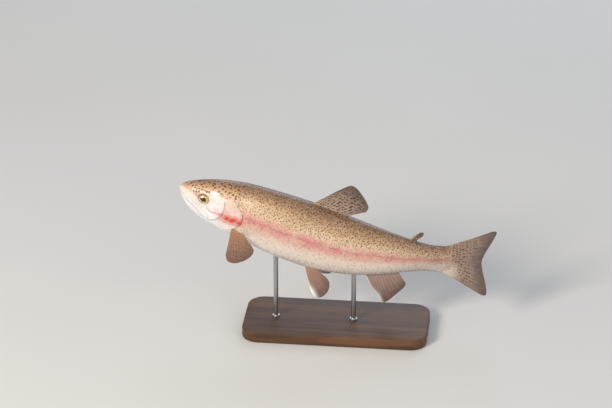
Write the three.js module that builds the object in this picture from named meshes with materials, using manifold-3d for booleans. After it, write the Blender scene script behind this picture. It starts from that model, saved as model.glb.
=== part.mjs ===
// Rainbow trout, life size, as a still display model held by a flat base and two short rods.
//
// The fish is first shaped straight, in body space: x runs tailward from the snout tip, y towards the
// fish's right side and z up from the body axis. Its pieces are parted there by thin cuts, and the
// swimming pose then bends every piece along one curved spine. Millimetres, +Z up. The head points
// to -X and the fish's left side faces -Y. The origin is under the middle, on the base's underside.

import * as THREE from "three";
import { mergeVertices } from "three/addons/utils/BufferGeometryUtils.js";
import Module from "manifold-3d";

const wasm = await Module();
wasm.setup();

// Driving dimensions of the fish.
const FORK_LENGTH = 331;
const FLESH_END = 300;
const FLESH_END_ROUNDING = 2;
const PART_GAP = 0.35;
const SMALLEST_SHARE = 0.04; // how thin a shrunk body may get, as a share of its own size

// The body's outline at stations behind the snout tip: its top and bottom edge and the level where
// it is widest, measured from the body axis, and its half width.
const STATIONS = [
  { x: 0, top: 0, bottom: 0, widest: 0, half: 0 },
  { x: 3, top: 5, bottom: -5.8, widest: 0, half: 5 },
  { x: 9, top: 9.6, bottom: -12.6, widest: -0.8, half: 8.4 },
  { x: 18, top: 14.8, bottom: -19, widest: -2, half: 11.7 },
  { x: 27, top: 19, bottom: -22.8, widest: -2.4, half: 14 },
  { x: 40, top: 24.3, bottom: -25.6, widest: -2.2, half: 16.8 },
  { x: 56, top: 29, bottom: -27.8, widest: -1, half: 19 },
  { x: 74, top: 32.6, bottom: -30.2, widest: 0, half: 20.4 },
  { x: 102, top: 35.3, bottom: -33.6, widest: 1, half: 21 },
  { x: 138, top: 36, bottom: -36.2, widest: 2, half: 20.6 },
  { x: 175, top: 32.6, bottom: -35.4, widest: 2, half: 18.8 },
  { x: 205, top: 28, bottom: -31.2, widest: 1.5, half: 15.9 },
  { x: 230, top: 23.2, bottom: -25.2, widest: 1, half: 12.4 },
  { x: 256, top: 18.2, bottom: -18.4, widest: 0.5, half: 8.6 },
  { x: 278, top: 15.4, bottom: -15.2, widest: 0, half: 5.6 },
  { x: 300, top: 17.2, bottom: -16.6, widest: 0, half: 2.8 },
];
const SECTION_POWER = 0.93; // 1 is an ellipse, and less is a fuller section

// Where the body is parted, in side view: points [x, z] of smooth lines.
const GILL_EDGE = [
  [54, 46], [56, 29], [62, 14.5], [71, 7], [74.4, -1],
  [72.6, -10], [66, -18], [57, -25], [49, -34], [46, -46],
];
const GILL_COVER_FRONT = [
  [70, 14.5], [56, 14], [50, 9], [47.5, 0], [45.5, -7],
  [43, -12.5], [43.5, -17], [49, -19.5], [58, -22], [68, -24],
];
const GILL_COVER_THICKNESS = 3;
const GAPE = [
  [-4, -1.8], [0, -1.8], [8, -4.4], [20, -9.4], [30, -13.2], [36, -16.6], [38.5, -22], [39, -28], [39, -36],
];
const VENT = 222; // where the trunk ends and the tail stalk begins

const EYE = { x: 29.3, z: 2.8, round: 6.3, deep: 4.2, middle: 11.3, gap: 0.3 };

// The swimming pose: how far the spine pitches down and turns to the fish's left, going tailward.
const NOSE_PITCH = THREE.MathUtils.degToRad(19.5);
const TAIL_PITCH = THREE.MathUtils.degToRad(7.5);
const NOSE_TURN = THREE.MathUtils.degToRad(3.5);
const TAIL_TURN = THREE.MathUtils.degToRad(-9.5);
const BEND_STARTS = 50;
const BEND_ENDS = 315;
const SNOUT_HEIGHT = 158;

const BASE = { length: 196, width: 84, height: 12, corner: 18, bevel: 1.5, rodHole: 8 };
const ROD = { radius: 2.5, stations: { front: 108, rear: 194 }, clearance: 0.3, sides: 20 };

const COLOURS = {
  back: { color: 0x8a6a4c, roughness: 0.35, metalness: 0 },
  cheek: { color: 0xe6cdbb, roughness: 0.3, metalness: 0.1 },
  eye: { color: 0xc99a4a, roughness: 0.1, metalness: 0 },
  fin: { color: 0x8c7566, roughness: 0.45, metalness: 0 },
  wood: { color: 0x4a3222, roughness: 0.5, metalness: 0 },
  steel: { color: 0xb9bcc0, roughness: 0.3, metalness: 1 },
};

// ---------- Curves ----------

// A natural cubic spline: a smooth function through the given values.
function smoothThrough(knots, values) {
  const last = knots.length - 1;
  const step = (i) => knots[i + 1] - knots[i];
  const slope = (i) => (values[i + 1] - values[i]) / step(i);
  const curvature = new Array(last + 1).fill(0);
  const upper = new Array(last + 1).fill(0);
  for (let i = 1; i < last; i++) {
    const pivot = 2 * (step(i - 1) + step(i)) - step(i - 1) * upper[i - 1];
    upper[i] = step(i) / pivot;
    curvature[i] = (6 * (slope(i) - slope(i - 1)) - step(i - 1) * curvature[i - 1]) / pivot;
  }
  for (let i = last - 1; i > 0; i--) curvature[i] -= upper[i] * curvature[i + 1];
  return (at) => {
    let i = 0;
    while (i < last - 1 && at > knots[i + 1]) i++;
    const h = step(i);
    const a = (knots[i + 1] - at) / h;
    const b = (at - knots[i]) / h;
    const bow = ((a ** 3 - a) * curvature[i] + (b ** 3 - b) * curvature[i + 1]) * (h * h) / 6;
    return a * values[i] + b * values[i + 1] + bow;
  };
}

// The outline runs over the root of x, which rounds the snout off.
const roots = STATIONS.map((station) => Math.sqrt(station.x));
const outline = {};
for (const measure of ["top", "bottom", "widest", "half"]) {
  const curve = smoothThrough(roots, STATIONS.map((station) => station[measure]));
  outline[measure] = (x) => curve(Math.sqrt(x));
}

// The spine, stepped one millimetre at a time from the snout, as frames that carry the body.
function frameAt(x) {
  const share = THREE.MathUtils.smoothstep(x, BEND_STARTS, BEND_ENDS);
  const pitch = THREE.MathUtils.lerp(NOSE_PITCH, TAIL_PITCH, share);
  const turn = THREE.MathUtils.lerp(NOSE_TURN, TAIL_TURN, share);
  const tailward = new THREE.Vector3(
    Math.cos(pitch) * Math.cos(turn),
    -Math.cos(pitch) * Math.sin(turn),
    -Math.sin(pitch),
  );
  const rightward = new THREE.Vector3(Math.sin(turn), Math.cos(turn), 0);
  const upward = new THREE.Vector3().crossVectors(tailward, rightward);
  return { tailward, rightward, upward };
}

const SPINE_REACH = 360;
const spine = [new THREE.Vector3(0, 0, SNOUT_HEIGHT)];
for (let x = 0; x < SPINE_REACH; x++) {
  spine.push(spine[x].clone().add(frameAt(x + 0.5).tailward));
}

// Carries a point from body space to its place in the pose.
function bend(point) {
  const { x, y, z } = point;
  const whole = THREE.MathUtils.clamp(Math.floor(x), 0, SPINE_REACH - 1);
  const frame = frameAt(THREE.MathUtils.clamp(x, 0, SPINE_REACH));
  return point
    .copy(spine[whole])
    .addScaledVector(frameAt(whole + 0.5).tailward, x - whole)
    .addScaledVector(frame.rightward, y)
    .addScaledVector(frame.upward, z);
}

// ---------- Solids ----------

// Moves each vertex of a geometry by a function of its place.
function reshape(geometry, place) {
  const positions = geometry.getAttribute("position");
  const point = new THREE.Vector3();
  for (let i = 0; i < positions.count; i++) {
    point.fromBufferAttribute(positions, i);
    place(point);
    positions.setXYZ(i, point.x, point.y, point.z);
  }
  return geometry;
}

// A closed geometry as a solid that can be cut and joined.
function solidOf(geometry) {
  geometry.deleteAttribute("normal");
  geometry.deleteAttribute("uv");
  const merged = mergeVertices(geometry, 1e-4);
  const vertProperties = merged.getAttribute("position").array;
  const triVerts = new Uint32Array(merged.index.array);
  const solid = new wasm.Manifold(new wasm.Mesh({ numProp: 3, vertProperties, triVerts }));
  if (solid.volume() > 0) return solid;
  return new wasm.Manifold(
    new wasm.Mesh({ numProp: 3, vertProperties, triVerts: triVerts.reverse() }),
  );
}

function geometryOf(solid) {
  const { vertProperties, triVerts } = solid.getMesh();
  const geometry = new THREE.BufferGeometry();
  geometry.setAttribute("position", new THREE.BufferAttribute(vertProperties.slice(), 3));
  geometry.setIndex(new THREE.BufferAttribute(triVerts.slice(), 1));
  return geometry;
}

const largest = (solids) => solids.reduce((a, b) => (a.volume() > b.volume() ? a : b));
const middleX = (solid) => (solid.boundingBox().min[0] + solid.boundingBox().max[0]) / 2;
const byMiddleX = (a, b) => middleX(a) - middleX(b);

// The whole fleshy body in body space, grown or shrunk all round by a margin.
const AROUND_BODY = 32;
const ALONG_BODY = 44;
function bodyGeometry(margin = 0) {
  return reshape(new THREE.SphereGeometry(1, AROUND_BODY, ALONG_BODY), (point) => {
    const x = ((1 - point.y) / 2) * FLESH_END;
    const ring = Math.hypot(point.x, point.z) || 1;
    const side = point.x / ring;
    const height = point.z / ring;
    const beyond = Math.max(0, x - (FLESH_END - FLESH_END_ROUNDING)) / FLESH_END_ROUNDING;
    const closing = Math.sqrt(Math.max(0, 1 - beyond ** 2));
    const widest = outline.widest(x);
    const grown = (size) => Math.max(size + margin, size * SMALLEST_SHARE) * closing;
    const rise = height > 0 ? grown(outline.top(x) - widest) : grown(widest - outline.bottom(x));
    const fuller = (share) => Math.sign(share) * Math.abs(share) ** SECTION_POWER;
    const reach = (FLESH_END + 2 * margin) / FLESH_END;
    point.set(
      x * reach - margin,
      fuller(side) * grown(outline.half(x)),
      widest * closing + fuller(height) * rise,
    );
  });
}

// An outline in side view, pushed right through the body along y.
const THROUGH = 60;
function throughBody(points) {
  const shape = new THREE.Shape(points.map(([x, z]) => new THREE.Vector2(x, z)));
  const geometry = new THREE.ExtrudeGeometry(shape, { depth: 2 * THROUGH, bevelEnabled: false });
  return solidOf(geometry.translate(0, 0, -THROUGH).rotateX(Math.PI / 2));
}

// The points of a smooth line through the given ones.
const LINE_STEPS = 26;
const sampled = (points) =>
  new THREE.SplineCurve(points.map(([x, z]) => new THREE.Vector2(x, z)))
    .getPoints(LINE_STEPS)
    .map((p) => [p.x, p.y]);

// A thin wall along a smooth line in side view, for parting the body.
function wall(points, gap) {
  const line = sampled(points);
  const offset = (sign) =>
    line.map(([x, z], i) => {
      const [x0, z0] = line[Math.max(i - 1, 0)];
      const [x1, z1] = line[Math.min(i + 1, line.length - 1)];
      const length = Math.hypot(x1 - x0, z1 - z0);
      return [x - (sign * gap * (z1 - z0)) / length / 2, z + (sign * gap * (x1 - x0)) / length / 2];
    });
  return throughBody([...offset(1), ...offset(-1).reverse()]);
}

function eyeball(side, margin = 0) {
  const ball = new THREE.SphereGeometry(1, 16, 9);
  ball.scale(EYE.round + margin, EYE.deep + margin, EYE.round + margin);
  return solidOf(ball.translate(EYE.x, side * EYE.middle, EYE.z));
}

// ---------- The body's pieces ----------

const LEFT = -1;
const RIGHT = 1;
const wholeBody = solidOf(bodyGeometry());

const [headBlock, behindHead] = wholeBody.subtract(wall(GILL_EDGE, PART_GAP)).decompose().sort(byMiddleX);

// Takes the two gill covers off the sides of the head as plates of even thickness.
function partGillCovers(head) {
  const front = sampled(GILL_COVER_FRONT);
  const behind = head.boundingBox().max[0] + THROUGH;
  const region = throughBody([...front, [behind, front.at(-1)[1]], [behind, front[0][1]]]);
  const covers = head
    .intersect(region)
    .subtract(solidOf(bodyGeometry(-GILL_COVER_THICKNESS)))
    .decompose()
    .sort((a, b) => b.volume() - a.volume())
    .slice(0, 2)
    .sort((a, b) => a.boundingBox().min[1] - b.boundingBox().min[1]);
  const room = region
    .add(wall(GILL_COVER_FRONT, 2 * PART_GAP))
    .subtract(solidOf(bodyGeometry(-GILL_COVER_THICKNESS - PART_GAP)));
  return { covers, rest: largest(head.subtract(room).decompose()) };
}

const { covers, rest: headWithJaw } = partGillCovers(headBlock);
const [skull, lowerJaw] = headWithJaw
  .subtract(wall(GAPE, PART_GAP))
  .decompose()
  .sort((a, b) => b.volume() - a.volume());
const head = skull
  .subtract(eyeball(LEFT, EYE.gap))
  .subtract(eyeball(RIGHT, EYE.gap));

const ventCut = throughBody([
  [VENT, -THROUGH],
  [VENT + PART_GAP, -THROUGH],
  [VENT + PART_GAP, THROUGH],
  [VENT, THROUGH],
]);
const [trunk, tailStalk] = behindHead.subtract(ventCut).decompose().sort(byMiddleX);

// ---------- Fins ----------

// A fin is a thin plate of rays that fan out from its root line, [along, out] in the fin's own plane.
// `tips` is the smooth outer edge from the leading ray to the last one, and `place` puts a point of
// that plane, with its height off the plane, into body space.
const FIN_EDGE_THICKNESS = 0.6;
const bodyForFins = solidOf(bodyGeometry(PART_GAP));

function finSolid({ root, tips, rays, steps, rootThickness, place }) {
  const edge = new THREE.SplineCurve(tips.map(([a, o]) => new THREE.Vector2(a, o)));
  const [start, end] = root.map(([a, o]) => new THREE.Vector2(a, o));
  const plate = new THREE.BoxGeometry(1, 1, 1, rays, steps, 1);
  reshape(plate, (point) => {
    const along = point.x + 0.5;
    const out = point.y + 0.5;
    const face = point.z * 2;
    const foot = start.clone().lerp(end, along);
    const inPlane = foot.lerp(edge.getPoint(along), out);
    const half = THREE.MathUtils.lerp(rootThickness, FIN_EDGE_THICKNESS, Math.sqrt(out)) / 2;
    place(point, inPlane.x, inPlane.y, face * half, along, out);
  });
  return largest(solidOf(plate).subtract(bodyForFins).decompose());
}

// A median fin stands in the body's plane of symmetry, and sways a little to one side at its edge.
const medianFin = (fin) =>
  finSolid({
    ...fin,
    place: (point, x, z, off, along, out) => point.set(x, off + fin.sway(along, out), z),
  });

// A paired fin stands on a root point with its rays pointing out, and mirrors to the other side.
function pairedFin(fin, side) {
  const out = new THREE.Vector3(...fin.outward).normalize();
  const back = new THREE.Vector3(...fin.backward);
  back.addScaledVector(out, -back.dot(out)).normalize();
  const normal = new THREE.Vector3().crossVectors(out, back);
  return finSolid({
    ...fin,
    place: (point, a, o, off, along, share) => {
      point
        .set(...fin.at)
        .addScaledVector(back, a)
        .addScaledVector(out, o)
        .addScaledVector(normal, off + fin.cup * share * share * (1 - along));
      point.y *= side;
    },
  });
}

const DORSAL_FIN = {
  root: [[136, 32.5], [175, 30]],
  tips: [[159, 57], [171.5, 67.5], [179.5, 67.5], [190, 59.5], [198, 50], [197, 43.5]],
  rays: 12, steps: 5, rootThickness: 2.2,
  sway: (along, out) => -3 * out * out * (0.4 + along),
};
const ADIPOSE_FIN = {
  root: [[250, 17], [256, 16]],
  tips: [[257, 25], [261, 28], [264, 27.4], [263.4, 24], [260, 20.6]],
  rays: 5, steps: 4, rootThickness: 2.4,
  sway: (along, out) => 0.6 * out,
};
const ANAL_FIN = {
  root: [[210, -28.2], [244, -19]],
  tips: [[227, -49.5], [234.5, -58.8], [240, -58.4], [247, -49.4], [254, -39.8], [255.5, -34.2]],
  rays: 12, steps: 5, rootThickness: 2,
  sway: (along, out) => 2 * out * out,
};
const CAUDAL_FIN = {
  root: [[291, 15.4], [291, -14.8]],
  tips: [
    [326, 31.5], [337, 36.8], [341.5, 35.4], [338.6, 25], [333.4, 11], [FORK_LENGTH, 0.5],
    [333.4, -10], [338.6, -24], [341.5, -36], [337, -37.8], [325, -31.6],
  ],
  rays: 20, steps: 5, rootThickness: 3.4,
  sway: (along, out) => 2.4 * out * out * Math.cos(Math.PI * (along - 0.35)),
};
const PECTORAL_FIN = {
  at: [70.5, 15.2, -15.5], outward: [0.2, 0.93, -0.3], backward: [1, 0.1, -0.1],
  root: [[-3.6, -1.5], [5, -1.5]],
  tips: [[-6, 36], [-3.5, 44.5], [4, 45.5], [13.5, 39], [20, 30.5], [22, 23], [19.5, 18]],
  rays: 10, steps: 6, rootThickness: 3, cup: 3,
};
const PELVIC_FIN = {
  at: [153, 7.5, -34], outward: [0.55, 0.62, -0.56], backward: [0.8, -0.5, 0.3],
  root: [[-3, -1.5], [5, -1.5]],
  tips: [[-5, 26], [-3, 33.5], [4, 34.5], [12, 29.5], [16, 22], [15, 16]],
  rays: 8, steps: 5, rootThickness: 2.6, cup: 2,
};

// ---------- The stand ----------

function rodSolid(station) {
  const foot = bend(new THREE.Vector3(station, 0, 0));
  const bottom = BASE.height - BASE.rodHole + ROD.clearance;
  const rod = new THREE.CylinderGeometry(ROD.radius, ROD.radius, foot.z - bottom, ROD.sides);
  rod.rotateX(Math.PI / 2).translate(foot.x, foot.y, (foot.z + bottom) / 2);
  const posedBody = solidOf(reshape(bodyGeometry(ROD.clearance), bend));
  return largest(solidOf(rod).subtract(posedBody).decompose());
}

// A plate with round corners and bevelled edges, with a blind hole for each rod.
function baseSolid(centre) {
  const { length, width, height, corner, bevel, rodHole } = BASE;
  const [x, y, r] = [length / 2 - bevel, width / 2 - bevel, corner];
  const plan = new THREE.Shape();
  plan.absarc(x - r, y - r, r, 0, Math.PI / 2, false);
  plan.absarc(-x + r, y - r, r, Math.PI / 2, Math.PI, false);
  plan.absarc(-x + r, -y + r, r, Math.PI, 1.5 * Math.PI, false);
  plan.absarc(x - r, -y + r, r, 1.5 * Math.PI, 2 * Math.PI, false);
  const plate = new THREE.ExtrudeGeometry(plan, {
    depth: height - 2 * bevel,
    bevelThickness: bevel,
    bevelSize: bevel,
    bevelSegments: 1,
    curveSegments: 6,
  });
  plate.translate(centre.x, centre.y, bevel);
  return Object.values(ROD.stations).reduce((base, station) => {
    const foot = bend(new THREE.Vector3(station, 0, 0));
    const radius = ROD.radius + ROD.clearance;
    const hole = new THREE.CylinderGeometry(radius, radius, 2 * rodHole, ROD.sides);
    hole.rotateX(Math.PI / 2).translate(foot.x, foot.y, height);
    return base.subtract(solidOf(hole));
  }, solidOf(plate));
}

// ---------- The model ----------

const fish = new THREE.Group();
const stand = new THREE.Group();

function addPiece(group, name, geometry, look) {
  geometry.computeVertexNormals();
  const piece = new THREE.Mesh(geometry, new THREE.MeshStandardMaterial(COLOURS[look]));
  piece.name = name;
  group.add(piece);
}

const addToFish = (name, solid, look) => addPiece(fish, name, reshape(geometryOf(solid), bend), look);

addToFish("head", head, "back");
addToFish("lower_jaw", lowerJaw, "cheek");
addToFish("trunk", trunk, "back");
addToFish("tail_stalk", tailStalk, "back");
addToFish("dorsal_fin", medianFin(DORSAL_FIN), "fin");
addToFish("adipose_fin", medianFin(ADIPOSE_FIN), "fin");
addToFish("anal_fin", medianFin(ANAL_FIN), "fin");
addToFish("caudal_fin", medianFin(CAUDAL_FIN), "fin");
for (const [word, side, cover] of [["left", LEFT, covers[0]], ["right", RIGHT, covers[1]]]) {
  addToFish(`gill_cover_${word}`, cover, "cheek");
  addToFish(`eye_${word}`, eyeball(side), "eye");
  addToFish(`pectoral_fin_${word}`, pairedFin(PECTORAL_FIN, side), "fin");
  addToFish(`pelvic_fin_${word}`, pairedFin(PELVIC_FIN, side), "fin");
}

// The base lies centred under the fish.
const middle = new THREE.Box3().setFromObject(fish).getCenter(new THREE.Vector3());
addPiece(stand, "stand_base", geometryOf(baseSolid(middle)), "wood");
for (const [word, station] of Object.entries(ROD.stations)) {
  addPiece(stand, `stand_rod_${word}`, geometryOf(rodSolid(station)), "steel");
}

const trout = new THREE.Group();
trout.add(fish, stand);
trout.position.set(-middle.x, -middle.y, 0);

export default trout;
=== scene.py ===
"""The looks of a life-size rainbow trout on a plain display stand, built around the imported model.

The fish is shaped in body space, in millimetres, as if it lay straight: x runs tailward from the
snout tip, y towards the fish's right side and z up from the body axis. `posed` carries points from
there into the frame, in metres, along the curved spine that the solids follow.
"""

import math

import bpy
import numpy as np
from mathutils import Euler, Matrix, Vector


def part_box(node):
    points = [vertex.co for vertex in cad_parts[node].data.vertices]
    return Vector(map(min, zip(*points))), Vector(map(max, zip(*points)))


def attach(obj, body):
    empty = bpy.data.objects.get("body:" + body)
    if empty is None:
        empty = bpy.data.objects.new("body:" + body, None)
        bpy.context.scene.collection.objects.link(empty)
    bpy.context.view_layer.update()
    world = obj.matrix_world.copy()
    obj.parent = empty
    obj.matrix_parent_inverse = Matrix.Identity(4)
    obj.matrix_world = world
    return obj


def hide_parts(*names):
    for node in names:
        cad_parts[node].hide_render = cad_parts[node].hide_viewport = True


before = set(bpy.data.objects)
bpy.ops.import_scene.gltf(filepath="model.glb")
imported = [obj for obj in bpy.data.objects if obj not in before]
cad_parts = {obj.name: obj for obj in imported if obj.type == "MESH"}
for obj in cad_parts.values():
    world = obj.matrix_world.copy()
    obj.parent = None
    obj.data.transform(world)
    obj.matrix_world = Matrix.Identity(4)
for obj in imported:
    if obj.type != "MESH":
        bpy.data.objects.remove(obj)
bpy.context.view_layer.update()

MM = 0.001
LEFT, RIGHT = -1, 1
SIDES = {"left": LEFT, "right": RIGHT}

# ---------- Driving dimensions ----------

FLESH_END = 300
FLESH_END_ROUNDING = 2
TAIL_THINS_FROM = 272
TAIL_THINNING = 0.62
SMALLEST_SHARE = 0.04
SECTION_POWER = 0.93
SCALE_DEPTH = 0.35  # how far the skin lies inside the solids under the scales
BARE_DEPTH = 0.05  # and on the head, which has no scales
NAPE = (58, 76)  # between these stations the skin goes from bare to scaled depth

# x, then top edge, bottom edge and level of greatest width, then half width
STATIONS = np.array([
    (0, 0, 0, 0, 0),
    (3, 5, -5.8, 0, 5),
    (9, 9.6, -12.6, -0.8, 8.4),
    (18, 14.8, -19, -2, 11.7),
    (27, 19, -22.8, -2.4, 14),
    (40, 24.1, -25.6, -2.2, 16.8),
    (56, 28.7, -27.8, -1, 19),
    (74, 32.2, -30.2, 0, 20.4),
    (102, 34.9, -33.6, 1, 21),
    (138, 35.7, -36.2, 2, 20.6),
    (175, 32.6, -35.4, 2, 18.8),
    (205, 28, -31.2, 1.5, 15.9),
    (230, 23.2, -25.2, 1, 12.4),
    (256, 18.2, -18.4, 0.5, 8.6),
    (278, 15.4, -15.2, 0, 5.6),
    (300, 17.2, -16.6, 0, 2.8),
])

NOSE_PITCH, TAIL_PITCH = math.radians(19.5), math.radians(7.5)
NOSE_TURN, TAIL_TURN = math.radians(3.5), math.radians(-9.5)
BEND_STARTS, BEND_ENDS = 50, 315
SPINE_REACH = 360

EYE = {"x": 29.3, "z": 2.8, "round": 6.3, "high": 5.4, "deep": 4.2, "middle": 11.3}

# Lines on the head in side view, [x, z].
GILL_EDGE = [
    (54, 46), (56, 29), (62, 14.5), (71, 7), (74.4, -1),
    (72.6, -10), (66, -18), (57, -25), (49, -34), (46, -46),
]
MOUTH = [(-4, -1.8), (0, -1.8), (8, -4.4), (20, -9.4), (30, -13.2), (37, -17)]
MAXILLA = [(9, -2.9), (20, -7.1), (30, -11), (37.2, -15)]
PREOPERCLE = [(50, 12), (52.5, 5), (52.2, -4), (49.5, -10.5), (44.5, -15.4), (38.5, -18)]
SUBOPERCLE_TOP = [(53, -8.5), (61, -11.8), (71.5, -10)]
INTEROPERCLE_TOP = [(45.5, -14.8), (52, -16.8), (60.5, -20.6)]
CHEEK_FOLD = [(33.5, -3.2), (39.5, -6.6), (46, -5.4), (51, -2.6)]
NOSTRILS = [(16.2, 5.6), (18.9, 6.5)]
# The middle of the cheek's pale patch behind the eye, which also carries a painted reflection.
CHEEK = (41, 8)
VENT = 205

# ---------- Curves ----------


def smooth_through(knots, values):
    """A natural cubic spline through the values, as a function of an array."""
    steps = np.diff(knots)
    slopes = np.diff(values) / steps
    count = len(knots)
    system = np.eye(count)
    right = np.zeros(count)
    for i in range(1, count - 1):
        system[i, i - 1:i + 2] = steps[i - 1], 2 * (steps[i - 1] + steps[i]), steps[i]
        right[i] = 6 * (slopes[i] - slopes[i - 1])
    curvature = np.linalg.solve(system, right)

    def at(x):
        i = np.clip(np.searchsorted(knots, x) - 1, 0, count - 2)
        h = steps[i]
        a, b = (knots[i + 1] - x) / h, (x - knots[i]) / h
        bow = ((a**3 - a) * curvature[i] + (b**3 - b) * curvature[i + 1]) * h * h / 6
        return a * values[i] + b * values[i + 1] + bow

    return at


def catmull_rom(points, at):
    """Places on a smooth line through the points, at shares of its number of spans."""
    points = np.asarray(points, float)
    last = len(points) - 1
    along = np.clip(np.asarray(at, float), 0, 1) * last
    i = np.minimum(np.floor(along), last - 1).astype(int)
    t = (along - i)[..., None]
    before, start = points[np.maximum(i - 1, 0)], points[i]
    end, after = points[i + 1], points[np.minimum(i + 2, last)]
    v0, v1 = (end - before) / 2, (after - start) / 2
    cubic = (2 * start - 2 * end + v0 + v1) * t**3
    return cubic + (3 * end - 3 * start - 2 * v0 - v1) * t**2 + v0 * t + start


def step(value, low, high):
    """0 at low, 1 at high, and smooth between. High may be the smaller."""
    share = np.clip((value - low) / (high - low), 0, 1)
    return share * share * (3 - 2 * share)


def ridge(distance, width):
    return np.exp(-(distance / width) ** 2)


def outline(column):
    """A column of the stations as a curve over the root of x, which rounds the snout off."""
    curve = smooth_through(np.sqrt(STATIONS[:, 0]), STATIONS[:, column])
    return lambda x: curve(np.sqrt(x))


TOP, BOTTOM, WIDEST, HALF = map(outline, range(1, 5))

# ---------- Pose ----------


def spine_frame(x):
    share = step(np.asarray(x, float), BEND_STARTS, BEND_ENDS)
    pitch = NOSE_PITCH + (TAIL_PITCH - NOSE_PITCH) * share
    turn = NOSE_TURN + (TAIL_TURN - NOSE_TURN) * share
    level = np.cos(pitch)
    tailward = np.stack([level * np.cos(turn), -level * np.sin(turn), -np.sin(pitch)], -1)
    rightward = np.stack([np.sin(turn), np.cos(turn), np.zeros_like(turn)], -1)
    return tailward, rightward, np.cross(tailward, rightward)


SPINE_STEPS = spine_frame(np.arange(SPINE_REACH) + 0.5)[0]
SPINE = np.vstack([np.zeros(3), np.cumsum(SPINE_STEPS, axis=0)])


def bent(points):
    x, y, z = np.moveaxis(np.asarray(points, float), -1, 0)
    whole = np.clip(np.floor(x), 0, SPINE_REACH - 1).astype(int)
    _, rightward, upward = spine_frame(np.clip(x, 0, SPINE_REACH))
    onward = SPINE_STEPS[whole] * (x - whole)[..., None]
    return SPINE[whole] + onward + rightward * y[..., None] + upward * z[..., None]


def box_in_mm(node):
    return np.array([list(corner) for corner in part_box(node)]) / MM


# The left eye's solid tells where the fish stands in the frame.
FISH_AT = box_in_mm("eye_left").mean(axis=0) - bent([EYE["x"], LEFT * EYE["middle"], EYE["z"]])


def posed(points):
    return (bent(points) + FISH_AT) * MM


# ---------- The body's surface ----------


def skin_depth(x):
    return BARE_DEPTH + (SCALE_DEPTH - BARE_DEPTH) * step(x, *NAPE)


def surface(x, angle):
    """The body's surface at stations x and angles from the back down the right side."""
    x, angle = np.broadcast_arrays(x, angle)
    margin = -skin_depth(x)
    beyond = np.clip((x - FLESH_END + FLESH_END_ROUNDING) / FLESH_END_ROUNDING, 0, 1)
    closing = np.sqrt(1 - beyond**2)

    def shrunk(size):
        return np.maximum(size + margin, size * SMALLEST_SHARE) * closing

    def fuller(share):
        return np.sign(share) * np.abs(share) ** SECTION_POWER

    widest = WIDEST(x)
    rise = np.where(np.cos(angle) > 0, shrunk(TOP(x) - widest), shrunk(widest - BOTTOM(x)))
    thinning = 1 - TAIL_THINNING * step(x, TAIL_THINS_FROM, FLESH_END)
    return np.stack([
        x * (FLESH_END + 2 * margin) / FLESH_END - margin,
        fuller(np.sin(angle)) * shrunk(HALF(x)) * thinning,
        widest * closing + fuller(np.cos(angle)) * rise,
    ], -1)


def outward(x, angle):
    """The surface's unit normal."""
    nudge = 0.02
    x = np.clip(x, nudge, FLESH_END - nudge)
    along = surface(x + nudge, angle) - surface(x - nudge, angle)
    around = surface(x, angle + nudge) - surface(x, angle - nudge)
    normal = np.cross(along, around)
    return normal / np.maximum(np.linalg.norm(normal, axis=-1, keepdims=True), 1e-9)


def lateral_line(x):
    """The height of the lateral line, from the top of the gill opening to mid tail."""
    return np.minimum(3.4 * (1 - step(x, 70, 210)), 0.4 * TOP(x))


# Arc lengths down one side, from the back to the belly, at stations along the body.
GIRTH_X = np.linspace(0.5, FLESH_END - 1, 400)
GIRTH_ANGLES = np.linspace(0, math.pi, 361)
GIRTH_SHARES = np.linspace(0, 1, 241)


def measure_girths():
    rings = surface(GIRTH_X[:, None], GIRTH_ANGLES[None, :])
    arcs = np.cumsum(np.linalg.norm(np.diff(rings, axis=1), axis=2), axis=1)
    arcs = np.hstack([np.zeros((len(GIRTH_X), 1)), arcs])
    halves = arcs[:, -1]
    angles = [np.interp(GIRTH_SHARES * arc[-1], arc, GIRTH_ANGLES) for arc in arcs]
    line = [
        np.interp(-level, -ring[:, 2], arc)
        for level, ring, arc in zip(lateral_line(GIRTH_X), rings, arcs)
    ]
    return halves, np.array(line), np.array(angles)


HALF_GIRTHS, LINE_ARCS, ANGLE_TABLE = measure_girths()


def half_girth(x):
    return np.interp(x, GIRTH_X, HALF_GIRTHS)


def line_arc(x):
    return np.interp(x, GIRTH_X, LINE_ARCS)


def angle_at(x, rise, side):
    """The angle of a point that lies an arc `rise` above the lateral line on a side."""
    share = (line_arc(x) - rise) / half_girth(x)
    folded = np.where(share > 1, 2 - share, np.abs(share))
    row = np.interp(x, GIRTH_X, np.arange(len(GIRTH_X)))
    column = np.clip(folded, 0, 1) * (len(GIRTH_SHARES) - 1)
    i = np.minimum(row.astype(int), len(GIRTH_X) - 2)
    j = np.minimum(column.astype(int), len(GIRTH_SHARES) - 2)
    u, v = row - i, column - j
    near = ANGLE_TABLE[i, j] * (1 - v) + ANGLE_TABLE[i, j + 1] * v
    far = ANGLE_TABLE[i + 1, j] * (1 - v) + ANGLE_TABLE[i + 1, j + 1] * v
    angle = near * (1 - u) + far * u
    angle = np.where(share < 0, -angle, angle)
    angle = np.where(share > 1, 2 * math.pi - angle, angle)
    return angle * side


def back_arc(x, angle):
    """Arc lengths from the middle of the back to points at the angles of each row's station."""
    turn = (angle + math.pi) % (2 * math.pi) - math.pi
    tables = (np.interp(x[:, 0], GIRTH_X, column) for column in ANGLE_TABLE.T)
    angles = np.stack(list(tables), -1)
    shares = [np.interp(np.abs(row), table, GIRTH_SHARES) for row, table in zip(turn, angles)]
    return np.sign(turn) * np.array(shares) * half_girth(x)


def girth_at(x, rise):
    """Where arcs over the lateral line lie: 1 on the back, 0 on the line, -1 on the belly."""
    top = line_arc(x)
    level = np.where(rise > 0, rise / top, rise / (half_girth(x) - top))
    return np.where(np.abs(level) > 1, np.sign(level) * 2 - level, level)


# ---------- Meshes ----------


def add_object(name, data):
    thing = bpy.data.objects.new(name, data)
    bpy.context.scene.collection.objects.link(thing)
    return thing


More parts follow.
